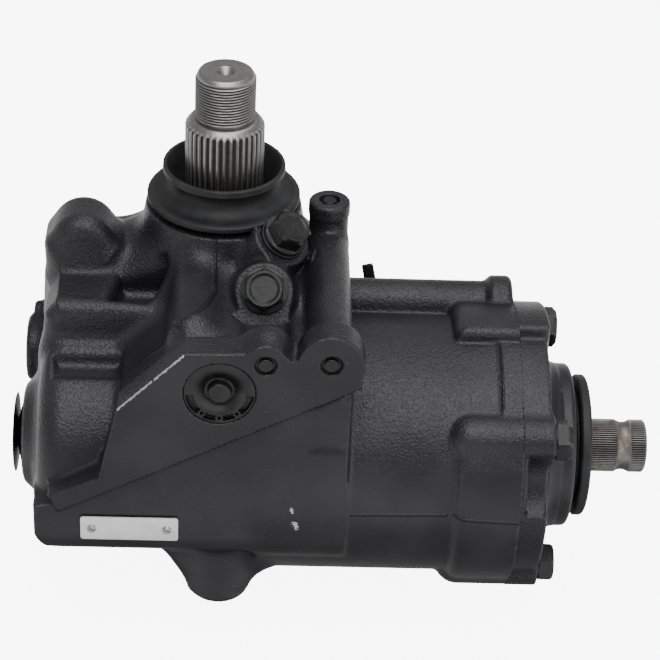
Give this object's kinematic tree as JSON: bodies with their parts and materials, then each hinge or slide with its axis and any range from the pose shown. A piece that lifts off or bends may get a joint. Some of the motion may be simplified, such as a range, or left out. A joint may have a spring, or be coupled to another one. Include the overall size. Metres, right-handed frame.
{
  "type": "steering gearbox",
  "caption": "Truck power steering gearbox: cast housing with a ball-screw worm, a rack piston and a toothed sector shaft that swings the steering arm.",
  "frame": {"origin": "on the sector shaft's axis, at the shoulder where its thread begins", "axes": "+Z along the sector shaft, out of the housing; +X along the worm and input shaft, towards the input end; +Y from the front pad to the sector shaft's side"},
  "size_m": [0.3195, 0.1827, 0.2721],
  "materials": {
    "cast_black": "satin black paint over a cast skin",
    "dark_plug": "black paint over turned steel",
    "port_black": "moulded",
    "rubber": "smooth black rubber",
    "steel": "machined",
    "copper": "dull copper",
    "plate": "bare sheet",
    "ring_plastic": "filled PTFE"
  },
  "bodies": {
    "housing": {"housing": "cast_black", "valve_housing": "cast_black", "valve_bolts": "cast_black", "valve_o_ring": "rubber", "side_cover": "cast_black", "cover_bolts": "steel", "cover_o_ring": "rubber", "adjusting_screw": "steel", "lock_nut": "steel", "end_plug": "cast_black", "relief_plug": "steel", "access_cap": "cast_black", "gallery_plugs": "dark_plug", "port_plug_front": "dark_plug", "port_plug_top": "dark_plug", "plug_washers": "copper", "port_cap": "port_black", "dust_boot": "rubber", "sector_seal": "rubber", "seal_snap_ring": "steel", "upper_bearing": "steel", "lower_bearing": "steel", "worm_bearing": "steel", "input_bearing": "steel", "input_seal": "rubber", "name_plate": "plate", "plate_screws": "steel"},
    "sector": {"sector_shaft": "steel"},
    "piston": {"piston": "steel", "piston_ring": "ring_plastic", "ball_train": "steel"},
    "worm": {"worm": "steel", "sleeve_rings": "ring_plastic", "torsion_bar": "steel", "bar_pin": "steel"},
    "input": {"input_shaft": "steel", "dust_cap": "rubber"}
  },
  "joints": [
    {"name": "sector_swing", "type": "hinge", "parent": "housing", "child": "sector", "pos_m": [0, 0, 0], "axis": [0, 0, 1], "range_deg": [-45, 45]},
    {"name": "piston_slide", "type": "slide", "parent": "housing", "child": "piston", "axis": [1, 0, 0], "range_m": [-0.0244, 0.0244]},
    {"name": "worm_spin", "type": "hinge", "parent": "housing", "child": "worm", "pos_m": [0.1, -0.058, -0.1536], "axis": [1, 0, 0], "range_deg": [-764, 764]},
    {"name": "input_twist", "type": "hinge", "parent": "worm", "child": "input", "pos_m": [0.15, -0.058, -0.1536], "axis": [1, 0, 0], "range_deg": [-4, 4], "stiffness_Nm_per_rad": 60}
  ],
  "couplings": [
    {"joint": "piston_slide", "follows": "sector_swing", "m_per_rad": 0.031},
    {"joint": "worm_spin", "follows": "sector_swing", "ratio": -16.937}
  ]
}
